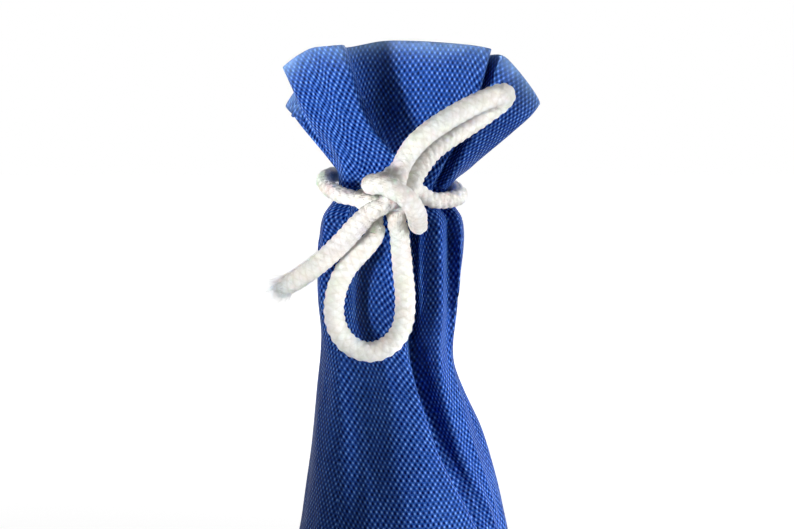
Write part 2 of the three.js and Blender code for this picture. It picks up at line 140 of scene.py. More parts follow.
# The folds: x and y at each folded level, from the left seam over the front and back again
FRONT_FOLD_SHARES = [
    [(-.76, .05), (-.66, -.36), (-.46, -.6), (-.2, -.75), (.16, -.82), (.62, -.6),
     (.64, -.48), (.7, -.44), (.77, -.36), (.82, -.24), (.85, -.11), (.86, .1)],
    [(-.66, .08), (-.6, -.24), (-.42, -.48), (-.2, -.55), (.04, -.68), (.3, -.62),
     (.27, -.42), (.36, -.4), (.47, -.46), (.57, -.34), (.63, -.18), (.66, .05)],
    [(-.59, .08), (-.55, -.14), (-.43, -.36), (-.25, -.4), (-.07, -.53), (.11, -.53),
     (.12, -.3), (.21, -.31), (.32, -.43), (.4, -.26), (.44, -.18), (.43, .05)],
    [(-.61, .06), (-.57, -.1), (-.38, -.18), (-.27, -.42), (-.14, -.51), (-.01, -.49),
     (.13, -.22), (.23, -.41), (.33, -.49), (.4, -.24), (.46, -.25), (.43, .04)],
    [(-.59, .03), (-.55, -.12), (-.38, -.17), (-.27, -.37), (-.1, -.5), (.04, -.42),
     (.14, -.21), (.23, -.4), (.33, -.47), (.4, -.22), (.48, -.29), (.52, .02)],
    [(-.55, 0), (-.52, -.2), (-.38, -.2), (-.31, -.33), (-.09, -.42), (.05, -.36),
     (.15, -.22), (.22, -.35), (.31, -.4), (.39, -.22), (.47, -.27), (.49, 0)],
    [(-.45, 0), (-.4, -.16), (-.3, -.14), (-.25, -.27), (-.1, -.36), (.04, -.34),
     (.1, -.2), (.17, -.29), (.25, -.27), (.27, -.13), (.35, -.13), (.39, .03)],
    [(-.46, -.08), (-.39, -.25), (-.28, -.3), (-.14, -.36), (.01, -.39), (-.03, -.27),
     (.14, -.22), (.25, -.28), (.33, -.31), (.36, -.15), (.45, -.25), (.59, -.01)],
    [(-.67, -.12), (-.55, -.27), (-.43, -.35), (-.32, -.41), (-.21, -.44), (-.17, -.25),
     (.04, -.1), (.32, -.19), (.52, -.34), (.54, -.1), (.62, -.26), (1.01, 0)],
    [(-.85, -.14), (-.74, -.26), (-.62, -.34), (-.51, -.4), (-.4, -.43), (-.35, -.26),
     (-.08, -.06), (.34, -.13), (.69, -.3), (.68, -.05), (.8, -.2), (1.1, .04)],
]
BACK_FOLD_SHARES = [
    [(.78, .42), (.62, .6), (.42, .73), (.15, .8), (-.12, .79), (-.38, .68), (-.58, .5), (-.7, .3)],
    [(.58, .32), (.42, .44), (.28, .58), (.1, .52), (-.1, .62), (-.3, .5), (-.47, .48), (-.6, .24)],
    [(.42, .22), (.28, .3), (.2, .48), (.06, .36), (-.1, .52), (-.26, .36), (-.42, .42), (-.52, .2)],
    [(.43, .2), (.27, .24), (.2, .47), (.04, .3), (-.12, .5), (-.28, .3), (-.44, .36), (-.52, .16)],
    [(.48, .2), (.3, .2), (.22, .45), (.04, .24), (-.12, .47), (-.26, .24), (-.45, .32), (-.46, .12)],
    [(.46, .19), (.28, .18), (.2, .41), (.03, .22), (-.12, .43), (-.24, .22), (-.42, .29), (-.42, .1)],
    [(.36, .16), (.22, .15), (.17, .32), (.02, .19), (-.12, .35), (-.2, .18), (-.36, .22), (-.34, .08)],
    [(.43, .17), (.26, .15), (.2, .34), (.02, .18), (-.16, .34), (-.26, .16), (-.5, .17), (-.4, .06)],
    [(.66, .22), (.38, .15), (.26, .34), (0, .17), (-.28, .3), (-.34, .14), (-.78, .18), (-.5, .06)],
    [(.84, .24), (.5, .15), (.32, .3), (0, .17), (-.34, .26), (-.42, .12), (-.85, .16), (-.6, .04)],
]
MOUTH_LEVEL_SHARES = [
    .968, .981, .99, .992, .993, .992, 1, .998, .99, .985, .982, .928,
    .95, .965, .97, .98, .975, .975, .927, .985,
]
SEAM_COLUMN = (len(FRONT_FOLD_SHARES[0]) - 1) * FOLD_STEPS

# Columns at which the weave may break, hidden in valleys below the cord and at folds above it
BODY_BREAKS = [2, 6, 10, 13, 16]
COLLAR_BREAKS = [5, 9, 12, 15, 18]
COLLAR_LEVEL_SHARE = 0.836
NECK_LEVEL_SHARE = 0.829

# The cord's route, as in the part's source: name, slack or held, diameter, points in millimetres
CORD_ROUTE = [
    ("short_tail", True, BAND_DIAMETER, [(3.4, -16, 166.4), (2.4, -16.8, 163.8)]),
    ("short_tail", True, TIGHT_DIAMETER, [(.8, -18.4, 160.6), (-1.6, -20.4, 157.6), (-3.1, -19.8, 154.4)]),
    ("lower_loop", False, CORD_DIAMETER, [
        (-3.7, -19.6, 151.3), (-5.3, -19.9, 149), (-7.4, -19.6, 146.8), (-10.1, -19, 143.6),
        (-12, -18.6, 139.7), (-12.8, -18.2, 135.2), (-12.2, -18, 131.1), (-9.7, -17.8, 127.4),
        (-5.4, -17.8, 125.8), (-1.2, -17.8, 127.5), (1.2, -18, 130.9), (1.9, -18.3, 135.2),
        (1.8, -18.5, 139), (1.4, -18.6, 142.8), (1.1, -18.7, 146.3)]),
    ("neck_cord", False, BAND_DIAMETER, [(.8, -18.7, 149), (.7, -18.9, 151.6)]),
    ("neck_cord", True, BAND_DIAMETER, [(1.1, -20, 154.6), (.6, -21.4, 158.2), (-1.6, -22.4, 159.9)]),
    ("neck_cord", False, BAND_DIAMETER, [(-4, -24, 161), (-5.2, -26.2, 161.3), (-4.3, -28.3, 161.1)]),
    ("neck_cord", True, BAND_DIAMETER, [
        (-1.3, -29.8, 160.2), (1.4, -29.6, 159.3), (3.4, -28, 158.4), (3.7, -25.2, 156.6)]),
    ("neck_cord", False, BAND_DIAMETER, [(4.2, -22.9, 153.4), (4.6, -20.9, 152.3), (4.7, -18.9, 153)]),
    ("neck_cord", False, TIGHT_DIAMETER, [
        (4.5, -17.4, 153.5), (3.4, -14.9, 154.1), (1.5, -12.1, 156.9), (-.4, -14.9, 159.9),
        (-2.3, -17.7, 157), (-4.2, -14.9, 154.2), (-6.2, -12.5, 156.1)]),
    ("neck_cord", False, NECK_DIAMETER, [
        (-8.6, -11.8, 157.3), (-11, -10.2, 157.6), (-14, -5.8, 158.7), (-15.6, 0, 160), (-14.2, 6.4, 161),
        (-8, 11, 161), (-1, 12.5, 160.6), (6, 11.1, 159.6), (12, 6.8, 158.4), (13.8, 0, 157.4),
        (12.8, -5.8, 156.8), (9, -9.6, 156.6), (6.6, -11.8, 157.2)]),
    ("neck_cord", False, TIGHT_DIAMETER, [
        (5, -12.8, 158.7), (3.4, -14.9, 159.9), (1.5, -17.7, 156.9), (-.4, -14.9, 154), (-2.3, -12.1, 157),
        (-4, -14.8, 159.5), (-5.1, -17.5, 158.5)]),
    ("neck_cord", True, TIGHT_DIAMETER, [
        (-5.3, -19.4, 157.2), (-4.6, -21.2, 156.5), (-3, -22.9, 157), (-.6, -24, 158.6),
        (1.6, -24.4, 160.2)]),
    ("upper_loop", False, CORD_DIAMETER, [
        (3.4, -23.4, 162), (4.8, -21.6, 164.3), (6.8, -19.2, 167), (10.2, -16.8, 169.6),
        (14.4, -14.9, 172.2), (18.5, -13.6, 174.9), (21.2, -13.4, 176.9), (22.3, -15.4, 178.4),
        (21.6, -17.8, 178.9), (19.2, -18.9, 178.2), (14, -20.6, 175.9), (9.7, -22.2, 173.5),
        (5.7, -23.8, 170.8), (3.1, -24.7, 168.2), (1.2, -25.2, 165.2)]),
    ("tail_pass", True, TIGHT_DIAMETER, [(-.4, -26.4, 162), (-2.6, -27, 159)]),
    ("long_tail", False, CORD_DIAMETER, [
        (-4.8, -26.5, 156.2), (-6.5, -25.2, 154.3), (-9.4, -23.3, 150.9), (-12.3, -21.5, 147.8),
        (-15.5, -20, 144.8), (-18.9, -18.2, 142.1), (-22.2, -16.6, 139.9), (-24.4, -15.9, 138.8)]),
]

# Where each moving stretch of the cord bends: the end on the knot's side, and the free end
LOWER_LOOP_BEND = (-2 * MM, -19 * MM, 148.8 * MM), (-2 * MM, -19 * MM, 139.5 * MM)
UPPER_LOOP_BEND = (3.4 * MM, -23.4 * MM, 162.2 * MM), (16.3 * MM, -15.2 * MM, 175.9 * MM)
LONG_TAIL_BEND = (-4.2 * MM, -26.7 * MM, 157 * MM), (-11 * MM, -22.1 * MM, 149.4 * MM)

# How the cord is drawn tight, as in the part's source
CORD_STEP = 1.1 * MM
TIGHTEN_ROUNDS = 120
TIGHTEN_SHARE = 0.3
PUSH_ROUNDS = 4
PUSH_SHARE = 0.8
SMOOTH_ROUNDS = 2
SMOOTH_SHARE = 0.5
BEND_SHARE = 1.5
TAPER_STEPS = 5
NECK_RING = dict(
    x=-0.035 * BODY_RADIUS, z=NECK_LEVEL_SHARE * POUCH_HEIGHT, flare=0.38,
    half_width=0.43 * BODY_RADIUS + TIGHT_DIAMETER / 2, half_depth=0.37 * BODY_RADIUS + TIGHT_DIAMETER / 2)

# The braid: its level is the height that lies at the cord's own radius
BRAID_SIDES = 60
BRAID_STEP = 0.2 * MM
BRAID_STRANDS = 4
BRAID_TURN = 7.2 * MM
BRAID_RELIEF = 0.3 * MM
BRAID_LEVEL = 0.62
BRAID_FIRST_STRAND = 6000
BRAID_SPLINE_STEPS = 12
WANDER_HEIGHT = 0.04 * MM
WANDER_LENGTH = 2.4 * MM
WANDER_WAVES = 7
PATH_STEP = 5

# The cord's ends
SQUEEZE_SHARE = 0.6
SQUEEZE_LENGTH = 0.8 * MM
FRAY_LENGTH = 3.2 * MM
FRAY_TAPER = 0.5
FIBRE_COUNT = 240
FIBRE_RADIUS = 0.045 * MM
FIBRE_POINTS = 6
FIBRE_CORNERS = 0, 2.094, 4.189


def add_camera():
    """The camera stands where the photograph was taken from."""
    data = bpy.data.cameras.new("camera")
    data.sensor_width = CAMERA_SENSOR
    data.lens = CAMERA_LENS
    data.clip_start = 0.01
    data.clip_end = 20
    camera = bpy.data.objects.new("camera", data)
    bpy.context.scene.collection.objects.link(camera)
    back = Vector((0, -math.cos(CAMERA_ELEVATION), math.sin(CAMERA_ELEVATION)))
    camera.location = CAMERA_TARGET + CAMERA_DISTANCE * back
    camera.rotation_euler = (CAMERA_TARGET - camera.location).to_track_quat("-Z", "Y").to_euler()
    bpy.context.scene.camera = camera


def spline(points, steps, closed):
    """Centripetal Catmull-Rom curves through rows of points, steps per span. Each column is a curve."""
    points = np.asarray(points, float)
    count = len(points)
    spans = count if closed else count - 1
    rows = []
    for i in range(spans):
        p1, p2 = points[i], points[(i + 1) % count]
        p0 = points[i - 1] if i or closed else 2 * p1 - p2
        p3 = points[(i + 2) % count] if i + 2 < count or closed else 2 * p2 - p1
        d0, d1, d2 = (
            np.maximum(np.linalg.norm(b - a, axis=-1, keepdims=True), 1e-9) ** 0.5
            for a, b in ((p0, p1), (p1, p2), (p2, p3)))
        t1 = ((p1 - p0) / d0 - (p2 - p0) / (d0 + d1) + (p2 - p1) / d1) * d1
        t2 = ((p2 - p1) / d1 - (p3 - p1) / (d1 + d2) + (p3 - p2) / d2) * d1
        number = steps[i] if hasattr(steps, "__len__") else steps
        for k in range(number):
            t = k / number
            rows.append(
                p1 + t1 * t + (-3 * p1 + 3 * p2 - 2 * t1 - t2) * t * t + (2 * p1 - 2 * p2 + t1 + t2) * t ** 3)
    if not closed:
        rows.append(points[-1])
    return np.array(rows)


def lay_cord():
    """Evenly spaced points along the loose route, each with its name, radius and whether it is slack."""
    controls = [
        (name, slack, size, np.array(p) * MM) for name, slack, size, points in CORD_ROUTE for p in points]
    places = np.array([c[3] for c in controls])
    spacing = np.linalg.norm(np.diff(places, axis=0), axis=1)
    steps = [max(1, math.floor(d / CORD_STEP + 0.5)) for d in spacing]
    points = spline(places, steps, False)
    names, slack, sizes = [], [], []
    for i, number in enumerate(steps):
        for k in range(number):
            names.append(controls[i][0])
            slack.append(i + k > 0 and (controls[i][1] or (k > 0 and controls[i + 1][1])))
            sizes.append(controls[i][2])
    names.append(controls[-1][0])
    slack.append(False)
    sizes.append(controls[-1][2])
    radii = np.array([
        np.mean(sizes[max(i - TAPER_STEPS, 0):i + TAPER_STEPS + 1]) / 2 for i in range(len(sizes))])
    return points, np.array(names), np.array(slack), radii


def push_apart(points, slack, first, second, least):
    apart = points[second] - points[first]
    distance = np.linalg.norm(apart, axis=1)
    near = distance < least
    move = apart[near] * ((least - distance)[near] * PUSH_SHARE / np.maximum(distance[near], 1e-9))[:, None]
    total, count = np.zeros_like(points), np.zeros(len(points))
    np.add.at(total, first[near], -move)
    np.add.at(total, second[near], move)
    np.add.at(count, first[near], 1)
    np.add.at(count, second[near], 1)
    points[slack] += (total / np.maximum(count, 1)[:, None])[slack]


def shorten(points, moving, share):
    middles = points.copy()
    middles[1:-1] = (points[:-2] + points[2:]) / 2
    points[moving] += (middles[moving] - points[moving]) * share


def clear_neck(points, slack):
    ring = NECK_RING
    flare = ring["flare"] * np.abs(points[:, 2] - ring["z"])
    x = (points[:, 0] - ring["x"]) / (ring["half_width"] + flare)
    y = points[:, 1] / (ring["half_depth"] + flare)
    reach = np.hypot(x, y)
    inside = slack & (reach < 1)
    points[inside, 0] = ring["x"] + (points[inside, 0] - ring["x"]) / reach[inside]
    points[inside, 1] /= reach[inside]


def tighten_cord(points, slack, radii):
    """Draws the slack stretches tight, as the part's source does."""
    first, second = np.triu_indices(len(points), 1)
    least = radii[first] + radii[second] + STRAND_GAP
    strands = (second - first) * CORD_STEP >= BEND_SHARE * least
    pairs = first[strands], second[strands], least[strands]
    for _ in range(TIGHTEN_ROUNDS):
        shorten(points, slack, TIGHTEN_SHARE)
        for _ in range(PUSH_ROUNDS):
            push_apart(points, slack, *pairs)
        clear_neck(points, slack)
    everywhere = np.ones(len(points), bool)
    for _ in range(SMOOTH_ROUNDS):
        shorten(points, everywhere, SMOOTH_SHARE)
    for _ in range(PUSH_ROUNDS):
        push_apart(points, slack, *pairs)
    return points


def new_object(name, vertices, faces, uvs=None, smooth=True):
    mesh = bpy.data.meshes.new(name)
    mesh.from_pydata([tuple(v) for v in vertices], [], [tuple(f) for f in faces])
    if uvs is not None:
        layer = mesh.uv_layers.new(name="weave")
        layer.data.foreach_set("uv", np.asarray(uvs, float).ravel())
    mesh.polygons.foreach_set("use_smooth", [smooth] * len(mesh.polygons))
    mesh.update()
    obj = bpy.data.objects.new(name, mesh)
    bpy.context.scene.collection.objects.link(obj)
    return obj


def unit(vectors):
    return vectors / np.maximum(np.linalg.norm(vectors, axis=-1, keepdims=True), 1e-12)


def braid_height(a, b):
    """The height, 0 to 1, of braided strands at places counted in strands."""
    over = (np.floor(a) + np.floor(b)) % 2
    across_a, across_b = np.sin(np.pi * (a % 1)), np.sin(np.pi * (b % 1))
    first = across_a ** 0.8 * (0.45 + 0.55 * across_b)
    second = across_b ** 0.8 * (0.45 + 0.55 * across_a)
    return np.where(over > 0.5, first, second)


def cord_frames(points):
    """Two sideways directions at each point, without twist."""
    tangents = unit(np.gradient(points, axis=0))
    side = np.cross((0, 1, 0), tangents[0])
    sides = []
    for tangent in tangents:
        side = side - tangent * (side @ tangent)
        side = side / np.linalg.norm(side)
        sides.append(side)
    sides = np.array(sides)
    return sides, np.cross(tangents, sides)


def braid(points, names, radii):
    """The whole cord's surface: rows of rings, with the braid's relief and its places in strands."""
    fine = spline(points, BRAID_SPLINE_STEPS, False)
    index = np.linspace(0, len(points) - 1, len(fine))
    travelled = np.concatenate([[0], np.cumsum(np.linalg.norm(np.diff(fine, axis=0), axis=1))])
    at = np.linspace(0, travelled[-1], round(travelled[-1] / BRAID_STEP) + 1)
    line = np.stack([np.interp(at, travelled, fine[:, k]) for k in range(3)], axis=1)
    place = np.interp(at, travelled, index)
    radius = np.interp(place, np.arange(len(points)), radii)
    sides, ups = cord_frames(line)
    turns = np.arange(BRAID_SIDES + 1) / BRAID_SIDES
    a = BRAID_STRANDS * (turns[None, :] + at[:, None] / BRAID_TURN)
    b = BRAID_STRANDS * (turns[None, :] - at[:, None] / BRAID_TURN) + BRAID_FIRST_STRAND
    relief = BRAID_RELIEF * (braid_height(a, b) - BRAID_LEVEL)
    wander = WANDER_HEIGHT * noise_grid(at / WANDER_LENGTH, turns * WANDER_WAVES, 11, WANDER_WAVES)
    squeeze = 1 - SQUEEZE_SHARE * np.exp(-((at - at[0]) / SQUEEZE_LENGTH) ** 2)
    opened = np.clip(1 - (at[-1] - at) / FRAY_LENGTH, 0, 1)
    squeeze = squeeze * (1 - FRAY_TAPER * opened ** 1.5)
    reach = (radius * squeeze)[:, None] + relief + wander
    angles = 2 * np.pi * turns
    surface = (
        line[:, None] + sides[:, None] * (np.cos(angles) * reach)[..., None]
        + ups[:, None] * (np.sin(angles) * reach)[..., None])
    stretch = np.array([names[min(int(p), len(names) - 1)] for p in place])
    return dict(line=line, surface=surface, a=a, b=b, names=stretch)


def noise_grid(x, y, seed, wrap):
    """Smooth noise, -1 to 1, over every pair of an x and a y. It repeats after wrap in y."""
    lattice = np.random.default_rng(seed).uniform(-1, 1, (int(np.max(x)) + 3, wrap + 1))
    lattice[:, -1] = lattice[:, 0]
    xi, yi = np.floor(x).astype(int), np.minimum(np.floor(y).astype(int), wrap - 1)
    xf, yf = x - xi, y - yi
    xs, ys = (xf * xf * (3 - 2 * xf))[:, None], (yf * yf * (3 - 2 * yf))[None, :]
    near = lattice[xi][:, yi] * (1 - ys) + lattice[xi][:, yi + 1] * ys
    far = lattice[xi + 1][:, yi] * (1 - ys) + lattice[xi + 1][:, yi + 1] * ys
    return near * (1 - xs) + far * xs


def cord_piece(name, whole, stretches):
    """One named stretch of the braided cord, closed at both ends."""
    rows = np.flatnonzero(np.isin(whole["names"], stretches))
    first, last = rows[0], min(rows[-1] + 1, len(whole["line"]) - 1)
    surface = whole["surface"][first:last + 1, :BRAID_SIDES]
    count, columns = surface.shape[:2]
    r, c = np.meshgrid(np.arange(count - 1), np.arange(columns), indexing="ij")
    following = (c + 1) % columns
    faces = np.stack([
        r * columns + c, r * columns + following, (r + 1) * columns + following, (r + 1) * columns + c],
        axis=-1).reshape(-1, 4)
    a, b = whole["a"][first:last + 1], whole["b"][first:last + 1]
    corners = [(r, c), (r, c + 1), (r + 1, c + 1), (r + 1, c)]
    uvs = np.stack([np.stack([a[i, j], b[i, j]], -1) for i, j in corners], axis=2).reshape(-1, 2)
    caps = [list(range(columns))[::-1], list(range((count - 1) * columns, count * columns))]
    uvs = np.concatenate([uvs, np.full((2 * columns, 2), 0.5)])
    obj = new_object(name, surface.reshape(-1, 3), faces.tolist() + caps, uvs)
    return obj, whole["line"][first:last + 1:PATH_STEP]


def frayed_end(name, tip, direction, radius):
    """Loose fibres where the braid opens towards the cord's cut end."""
    source = np.random.default_rng(5)
    side = unit(np.cross(direction, (0, 0, 1)))
    up = np.cross(direction, side)
    vertices, faces = [], []
    for _ in range(FIBRE_COUNT):
        angle, back = source.uniform(0, 2 * np.pi), source.uniform(0, 1) ** 1.3
        spoke = side * np.cos(angle) + up * np.sin(angle)
        sleeve = radius * (1 - FRAY_TAPER * (1 - back) ** 1.5) * source.uniform(0.7, 0.98)
        start = tip - direction * back * FRAY_LENGTH + spoke * sleeve
        length = (source.uniform(0.9, 2.6) + 2.4 * back) * MM
        heading = unit(direction + spoke * source.uniform(0, 0.42) + source.normal(0, 0.13, 3))
        curl = source.normal(0, 0.5, 3)
        shares = np.linspace(0, 1, FIBRE_POINTS)
        points = [start + heading * length * t + curl * length * 0.5 * t * t for t in shares]
        across = unit(np.cross(heading, curl))
        over = np.cross(heading, across)
        base = len(vertices)
        for share, point in zip(shares, points):
            thick = FIBRE_RADIUS * (1 - 0.7 * share)
            for turn in FIBRE_CORNERS:
                vertices.append(point + (across * np.cos(turn) + over * np.sin(turn)) * thick)
        for i in range(FIBRE_POINTS - 1):
            for k in range(3):
                low, high = base + 3 * i, base + 3 * i + 3
                faces.append((low + k, low + (k + 1) % 3, high + (k + 1) % 3, high + k))
        tip_start = len(vertices) - 3
        faces += [(base + 2, base + 1, base), (tip_start, tip_start + 1, tip_start + 2)]
    return new_object(name, vertices, faces)


def wall_grid():
    """The wall's outer surface, rows by columns, from the folds above."""
    folded = []
    for level, (front, back) in enumerate(zip(FRONT_FOLD_SHARES, BACK_FOLD_SHARES)):
        mouth = level == len(FRONT_FOLD_SHARES) - 1
        heights = MOUTH_LEVEL_SHARES if mouth else [FOLD_LEVEL_SHARES[level]] * (len(front) + len(back))
        folded.append([
            (x * BODY_RADIUS, y * BODY_RADIUS, height * POUCH_HEIGHT)
            for (x, y), height in zip(front + back, heights)])
    folded = np.array(folded)
    rounds = [
        unit(folded[0] * (1, 1, 0)) * share * BODY_RADIUS + (0, 0, level * POUCH_HEIGHT)
        for level, share in zip(ROUND_LEVEL_SHARES, ROUND_RADIUS_SHARES)]
    rings = np.array([spline(section, FOLD_STEPS, True) for section in [*rounds, *folded]])
    grid = spline(rings, LEVEL_STEPS, False)
    grid[0, :, 2] = 0
    return grid


def wall_normals(grid):
    along = np.roll(grid, -1, axis=1) - np.roll(grid, 1, axis=1)
    normals = np.cross(along, np.gradient(grid, axis=0))
    normals[0, :, 2] = 0
    return unit(normals)


def unevenness(grid, up, around, seed, height):
    """Noise over the wall's rows and columns, with so many waves up and around it."""
    rows, columns = grid.shape[:2]
    x = np.arange(columns) / columns
    z = np.arange(rows) / rows
    return noise_grid(z * up, x * around, seed, around) * height


def wrinkle(grid):
    """Soft dents all over but at the foot and the neck, puckers at the foot, and drape on the body."""
    dents = unevenness(grid, *LARGE_DENTS) + unevenness(grid, *SMALL_DENTS)
    height = grid[:, :, 2] / POUCH_HEIGHT
    at_neck = np.exp(-((height - NECK_LEVEL_SHARE) / 0.03) ** 2)
    fade = np.clip(height / 0.06, 0, 1) * (1 - 0.8 * at_neck)
    puckers = unevenness(grid, *FOOT_PUCKERS) * np.exp(-(height / 0.05) ** 2)
    drape = unevenness(grid, *DRAPE) * np.clip(height / 0.12, 0, 1) * np.clip((0.58 - height) / 0.2, 0, 1)
    return grid + wall_normals(grid) * ((dents * fade + puckers + drape) * MM)[..., None]


def arc_lengths(points, axis):
    lengths = np.linalg.norm(np.diff(points, axis=axis), axis=2)
    padded = np.concatenate([np.zeros_like(np.take(lengths, [0], axis)), lengths], axis=axis)
    return np.cumsum(padded, axis=axis)


def weave_places(grid):
    """The weave's place, in metres of cloth, at the left and right edge of each column of faces."""
    columns = grid.shape[1]
    around = arc_lengths(np.concatenate([grid, grid, grid[:, :1]], axis=1), 1)
    climbed = arc_lengths(grid, 0)
    reference = (len(ROUND_LEVEL_SHARES) - 1) * LEVEL_STEPS
    collar = grid[:, 0, 2] > COLLAR_LEVEL_SHARE * POUCH_HEIGHT
    left, right = np.zeros((2, *grid.shape[:2], 2))
    for breaks, rows in ((BODY_BREAKS, ~collar), (COLLAR_BREAKS, collar)):
        marks = [b * FOLD_STEPS for b in breaks]
        for start, stop in zip(marks, marks[1:] + [marks[0] + columns]):
            middle = (start + stop) // 2
            origin = around[:, middle] - around[reference, middle]
            for c in range(start, stop):
                k = c % columns
                left[rows, k] = np.stack([around[:, c] - origin, climbed[:, k]], 1)[rows]
                right[rows, k] = np.stack([around[:, c + 1] - origin, climbed[:, (k + 1) % columns]], 1)[rows]
    return left, right


def slab(name, outer, inner, places=None, all_round=False):
    """A closed sheet between two grids. Places are the weave's at each column's left and right edge."""
    rows, columns = outer.shape[:2]
    spans = columns if all_round else columns - 1
    if places is None:
        around = arc_lengths(np.concatenate([outer, outer[:, :1]], axis=1), 1)
        climbed = arc_lengths(outer, 0)
        climbed = np.concatenate([climbed, climbed[:, :1]], axis=1)
        both = np.stack([around, climbed], axis=-1)
        places = both[:, :-1], both[:, 1:]
    left, right = places
    index = np.arange(rows * columns).reshape(rows, columns)
    after = np.roll(index, -1, axis=1)
    under = rows * columns
    a, b = index[:-1, :spans], after[:-1, :spans]
    c, d = after[1:, :spans], index[1:, :spans]
    pa, pb, pc, pd = left[:-1, :spans], right[:-1, :spans], right[1:, :spans], left[1:, :spans]
    quads = [
        ((a, b, c, d), (pa, pb, pc, pd)),
        ((a + under, d + under, c + under, b + under), (pa, pd, pc, pb)),
        ((a[:1], a[:1] + under, b[:1] + under, b[:1]), (pa[:1], pa[:1], pb[:1], pb[:1])),
        ((d[-1:], c[-1:], c[-1:] + under, d[-1:] + under), (pd[-1:], pc[-1:], pc[-1:], pd[-1:]))]
    if not all_round:
        a, d, pa, pd = a[:, :1], d[:, :1], pa[:, :1], pd[:, :1]
        b, c, pb, pc = b[:, -1:], c[:, -1:], pb[:, -1:], pc[:, -1:]
        quads.append(((a, d, d + under, a + under), (pa, pd, pd, pa)))
        quads.append(((b, b + under, c + under, c), (pb, pb, pc, pc)))
    faces = np.concatenate([np.stack(corners, -1).reshape(-1, 4) for corners, _ in quads])
    uvs = np.concatenate([np.stack(spots, 2).reshape(-1, 2) for _, spots in quads])
    return new_object(name, np.concatenate([outer.reshape(-1, 3), inner.reshape(-1, 3)]), faces, uvs)


def paint_rim_highlight(obj, below_rim):
    """How near each point lies to the mouth's edge, for the painted highlight along the rim."""
    attribute = obj.data.attributes.new("rim", "FLOAT", "POINT")
    values = np.tile(np.exp(-below_rim / RIM_FADE).reshape(-1), 2)
    attribute.data.foreach_set("value", values.astype(np.float32))


def wall_pieces(grid):
    """The front and back panels, which meet in a sunken seam on each side."""
    normals = wall_normals(grid)
    left, right = weave_places(grid)
    columns = grid.shape[1]
    below_rim = arc_lengths(grid[::-1], 0)[::-1]
    pieces = []
    for name, span in (("front_cloth", (0, SEAM_COLUMN)), ("back_cloth", (SEAM_COLUMN, columns))):
        picked = [c % columns for c in range(span[0], span[1] + 1)]
        outer, outward = grid[:, picked].copy(), normals[:, picked]
        travelled = arc_lengths(outer, 1)
        from_edge = np.minimum(travelled, travelled[:, -1:] - travelled)
        outer -= outward * (SEAM_SINK * np.exp(-(from_edge / SEAM_SINK_WIDTH) ** 2))[..., None]
        for edge, beside in ((0, 1), (-1, -2)):
            outer[:, edge] += unit(outer[:, beside] - outer[:, edge]) * SEAM_HALF_GAP
        inner = outer - outward * CLOTH_THICKNESS
        piece = slab(name, outer, inner, (left[:, picked], right[:, picked]))
        paint_rim_highlight(piece, below_rim[:, picked])
        pieces.append(piece)
    return pieces


def base_piece(grid):
    """The round base, with small gathers where it is sewn in."""
    normals = wall_normals(grid)
    rim = (grid - normals * CAD_CLOTH_THICKNESS)[0]
    length = np.linalg.norm(rim[:, :2], axis=1, keepdims=True)
    rim = rim * np.concatenate([1 - FIT_GAP / length] * 3, axis=1)
    shares = np.linspace(0.01, 1, BASE_ROWS)[::-1]
    top = shares[:, None, None] * rim[None]
    turns = np.arange(rim.shape[0]) / rim.shape[0]
    gathers = noise_grid(np.linspace(0, 2, BASE_ROWS), turns * BASE_GATHERS, 9, BASE_GATHERS)
    gathers = gathers * 0.05 * (shares[:, None] ** 8)
    top[..., 2] = CLOTH_THICKNESS + (gathers + 0.05) * MM
    bottom = top.copy()
    bottom[..., 2] = 0.02 * MM + np.maximum(gathers, 0) * MM
    flat = top[..., :2]
    places = flat, np.roll(flat, -1, axis=1)
    return slab("base_cloth", top, bottom, places, all_round=True)


def at_height(grid, height):
    """Where each column of the grid passes a height."""
    column_heights = grid[..., 2]
    r = np.clip((column_heights < height).sum(axis=0), 1, len(grid) - 1)
    c = np.arange(grid.shape[1])
    low, high = grid[r - 1, c], grid[r, c]
    return low + (high - low) * ((height - low[:, 2]) / (high[:, 2] - low[:, 2]))[:, None]


def crowned(rows, inward, thickness):
    """The inner face of a strip of binding: it is padded in the middle and thin along its edges."""
    share = np.linspace(-1, 1, rows.shape[0])[:, None, None]
    return rows + inward * thickness * (0.45 + 0.55 * np.sqrt(np.clip(1 - share ** 4, 0, 1)))


def base_binding(grid):
    """The base seam's bound allowance stands up along the wall's foot."""
    inner = grid - wall_normals(grid) * CAD_CLOTH_THICKNESS
    low = CAD_CLOTH_THICKNESS + FIT_GAP
    rows = np.array([
        at_height(inner, low + t * SEAM_ALLOWANCE) for t in np.linspace(0, 1, BINDING_ROWS)])
    inward = -unit(rows * (1, 1, 0))
    rows = rows + inward * FIT_GAP
    made = slab("base_binding", rows, crowned(rows, inward, BINDING_THICKNESS), all_round=True)
    outward = inward[BINDING_MIDDLE]
    seam = rows[BINDING_MIDDLE] + outward * BINDING_THICKNESS
    closed = [np.concatenate([line, line[:1]]) for line in (seam, outward)]
    return made, stitches("base_stitches", *closed)


def along_rows(rows, column, direction, reach):
    """The place at a distance along each row, from a column on."""
    count = rows.shape[1]
    picked = rows[:, [(column + direction * k) % count for k in range(count // 2)]]
    travelled = arc_lengths(picked, 1)
    return np.array([
        [np.interp(reach, t, line[:, k]) for k in range(3)] for t, line in zip(travelled, picked)])


